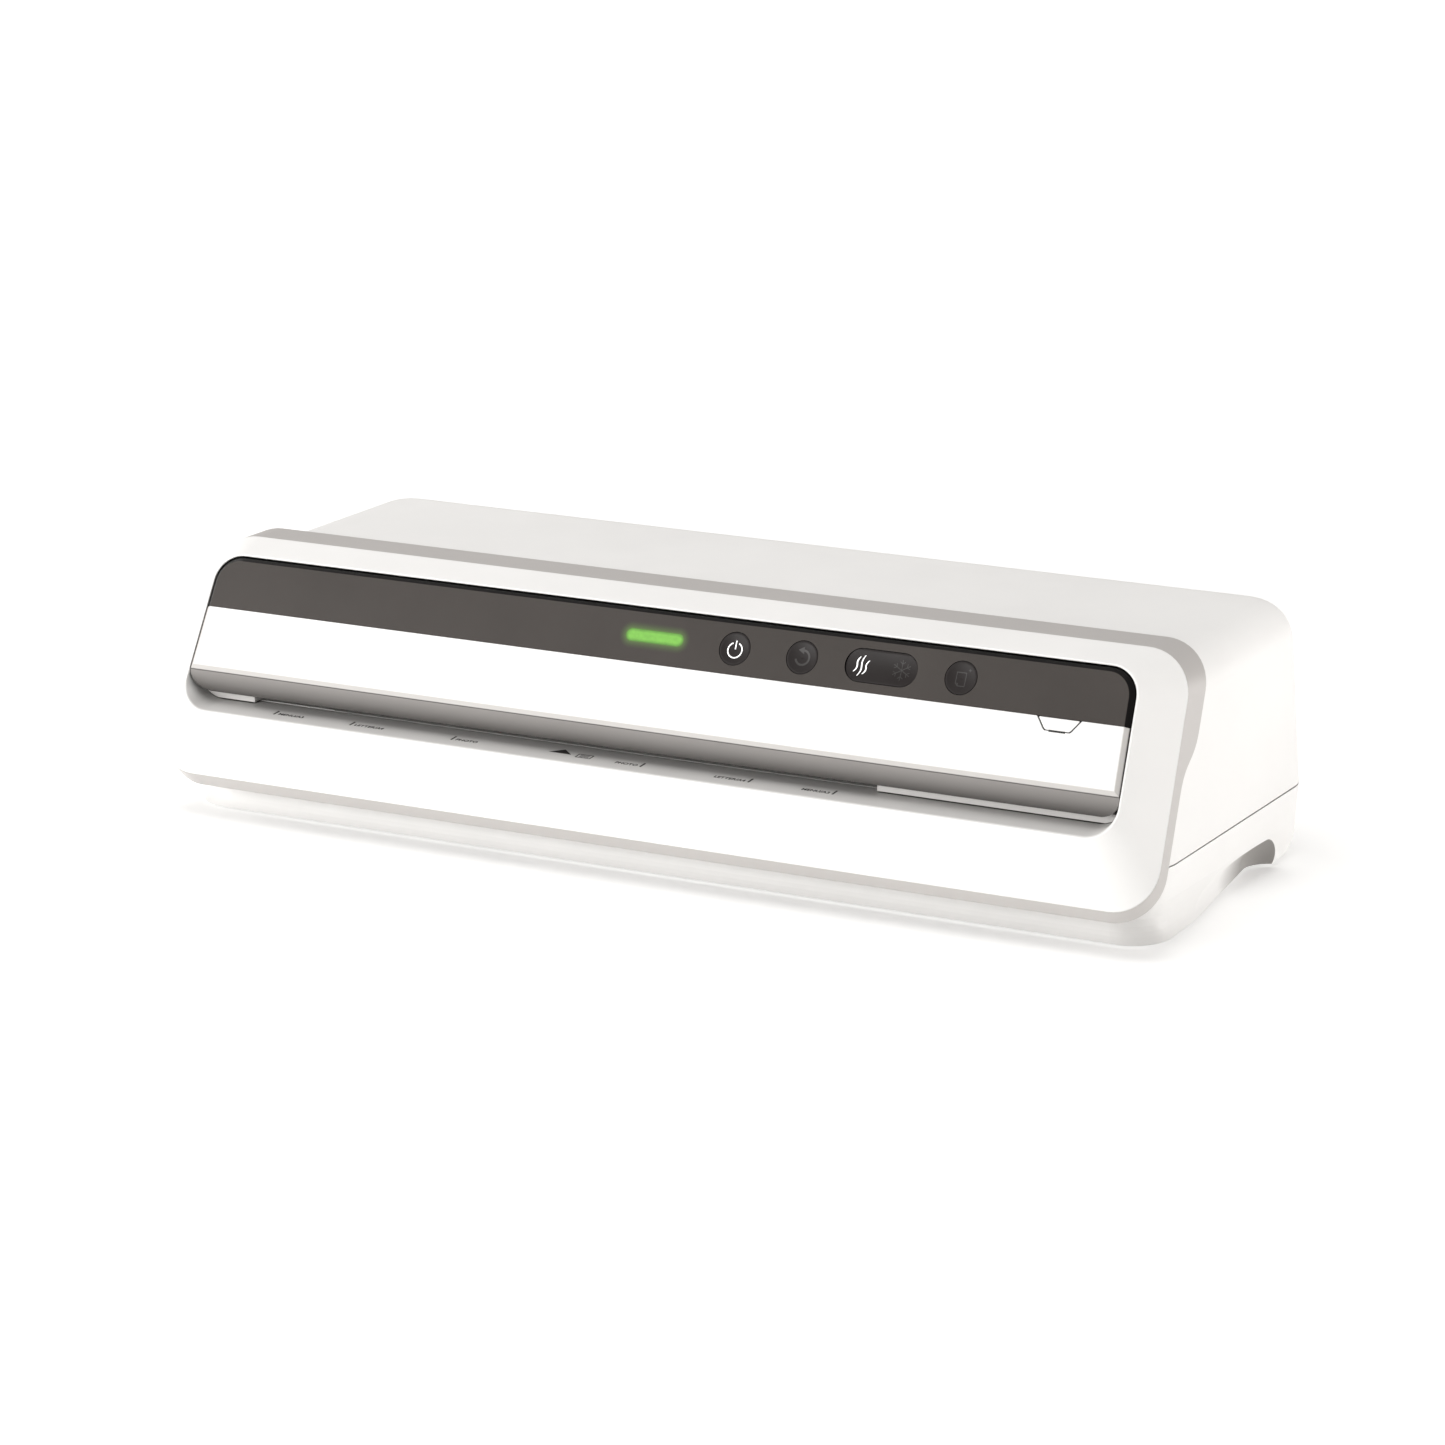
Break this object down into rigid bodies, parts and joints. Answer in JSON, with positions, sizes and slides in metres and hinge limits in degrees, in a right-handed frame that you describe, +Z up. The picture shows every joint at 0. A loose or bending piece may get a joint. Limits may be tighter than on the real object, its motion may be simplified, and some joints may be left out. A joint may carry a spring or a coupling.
{
  "type": "pouch laminator",
  "caption": "Wide desktop pouch laminator: sloping framed front with a dark control strip over the feed slot, driven rollers and heating plates inside, exit slot behind.",
  "frame": {"origin": "on the floor, under the middle of the bounding box", "axes": "+X to the right seen from the front, +Y from the front to the rear, +Z up"},
  "size_m": [0.5254, 0.217, 0.13],
  "materials": {
    "white_shell": "satin",
    "grey_trim": "satin",
    "dark_lens": "polished",
    "jaw_grey": "satin",
    "button_black": "satin",
    "light_green": "clear",
    "guide_white": "matte",
    "steel": "brushed",
    "silicone": "matte",
    "foot_rubber": "matte",
    "aluminium": "extruded",
    "heater_film": "film",
    "nylon": "matte",
    "gear_plastic": "matte",
    "board_green": "solder mask",
    "component_black": "matte",
    "black_plastic": "matte",
    "spring_steel": "plain"
  },
  "bodies": {
    "housing": {"front_bezel": "white_shell", "bezel_band": "grey_trim", "control_strip": "dark_lens", "front_panel": "white_shell", "slot_jaw": "jaw_grey", "status_light": "light_green", "control_board": "board_green", "tact_switches": "component_black", "board_screws": "steel", "board_carrier": "black_plastic", "base_shell": "white_shell", "top_cover": "white_shell", "rubber_feet": "foot_rubber", "base_screws": "steel", "cord_gland": "black_plastic", "feed_guide_lower": "guide_white", "feed_guide_upper": "guide_white", "exit_guide_lower": "black_plastic", "exit_guide_upper": "black_plastic", "lower_bushes": "nylon", "front_pressure_springs": "spring_steel", "rear_pressure_springs": "spring_steel", "side_frame_left": "steel", "side_frame_right": "steel", "tie_rods": "steel", "frame_screws": "steel", "heating_plate_lower": "aluminium", "heating_plate_upper": "aluminium", "heater_elements": "heater_film", "heat_shields": "steel", "plate_insulators": "nylon", "thermostat": "component_black", "idler_stud": "steel", "motor_bracket": "steel", "motor_gearbox": "steel", "drive_motor": "steel", "power_board": "board_green", "board_posts": "nylon", "power_board_parts": "component_black"},
    "front_lower_roller": {"front_lower_shaft": "steel", "front_lower_sleeve": "silicone", "front_lower_gear": "gear_plastic"},
    "front_upper_roller": {"front_upper_shaft": "steel", "front_upper_sleeve": "silicone", "front_upper_gear": "gear_plastic"},
    "front_bearings": {"front_bearing_blocks": "nylon"},
    "rear_lower_roller": {"rear_lower_shaft": "steel", "rear_lower_sleeve": "silicone", "rear_lower_gear": "gear_plastic"},
    "rear_upper_roller": {"rear_upper_shaft": "steel", "rear_upper_sleeve": "silicone", "rear_upper_gear": "gear_plastic"},
    "rear_bearings": {"rear_bearing_blocks": "nylon"},
    "idler_gear": {"idler_gear": "gear_plastic"},
    "motor_pinion": {"motor_pinion": "gear_plastic"},
    "power_button": {"power_button": "button_black"},
    "reverse_button": {"reverse_button": "button_black"},
    "page_button": {"page_button": "button_black"},
    "hot_cold_rocker": {"hot_cold_rocker": "button_black"},
    "release_tab": {"release_tab": "white_shell"}
  },
  "joints": [
    {"name": "front_lower_spin", "type": "hinge", "parent": "housing", "child": "front_lower_roller", "pos_m": [-0.0455, -0.04975, 0.0509], "axis": [1, 0, 0], "continuous": true},
    {"name": "rear_lower_spin", "type": "hinge", "parent": "housing", "child": "rear_lower_roller", "pos_m": [-0.0455, 0.01625, 0.0509], "axis": [1, 0, 0], "continuous": true},
    {"name": "front_bearing_lift", "type": "slide", "parent": "housing", "child": "front_bearings", "axis": [0, 0, 1], "range_m": [0, 0.0008], "stiffness_N_per_m": 12000, "springref_m": -0.001, "deforming": ["front_pressure_springs"]},
    {"name": "front_upper_spin", "type": "hinge", "parent": "front_bearings", "child": "front_upper_roller", "pos_m": [-0.0455, -0.04975, 0.0709], "axis": [1, 0, 0], "continuous": true},
    {"name": "rear_bearing_lift", "type": "slide", "parent": "housing", "child": "rear_bearings", "axis": [0, 0, 1], "range_m": [0, 0.0008], "stiffness_N_per_m": 12000, "springref_m": -0.001, "deforming": ["rear_pressure_springs"]},
    {"name": "rear_upper_spin", "type": "hinge", "parent": "rear_bearings", "child": "rear_upper_roller", "pos_m": [-0.0455, 0.01625, 0.0709], "axis": [1, 0, 0], "continuous": true},
    {"name": "idler_spin", "type": "hinge", "parent": "housing", "child": "idler_gear", "pos_m": [-0.0455, -0.01675, 0.03924], "axis": [1, 0, 0], "continuous": true},
    {"name": "motor_spin", "type": "hinge", "parent": "housing", "child": "motor_pinion", "pos_m": [-0.0455, 0.01625, 0.03924], "axis": [1, 0, 0], "continuous": true},
    {"name": "power_press", "type": "slide", "parent": "housing", "child": "power_button", "axis": [0, 0.891, -0.454], "range_m": [0, 0.0008], "stiffness_N_per_m": 900},
    {"name": "reverse_press", "type": "slide", "parent": "housing", "child": "reverse_button", "axis": [0, 0.891, -0.454], "range_m": [0, 0.0008], "stiffness_N_per_m": 900},
    {"name": "page_press", "type": "slide", "parent": "housing", "child": "page_button", "axis": [0, 0.891, -0.454], "range_m": [0, 0.0008], "stiffness_N_per_m": 900},
    {"name": "tab_press", "type": "slide", "parent": "housing", "child": "release_tab", "axis": [0, 0.891, -0.454], "range_m": [0, 0.001], "stiffness_N_per_m": 900},
    {"name": "hot_cold_rock", "type": "hinge", "parent": "housing", "child": "hot_cold_rocker", "pos_m": [0.1187, -0.07648, 0.1113], "axis": [0, 0.454, 0.891], "range_deg": [-2, 2], "stiffness_Nm_per_rad": 0.4}
  ],
  "couplings": [
    {"joint": "rear_lower_spin", "follows": "front_lower_spin", "ratio": 1},
    {"joint": "front_upper_spin", "follows": "front_lower_spin", "ratio": -1},
    {"joint": "rear_upper_spin", "follows": "front_lower_spin", "ratio": -1},
    {"joint": "idler_spin", "follows": "front_lower_spin", "ratio": -0.4},
    {"joint": "motor_spin", "follows": "front_lower_spin", "ratio": 1.25}
  ]
}
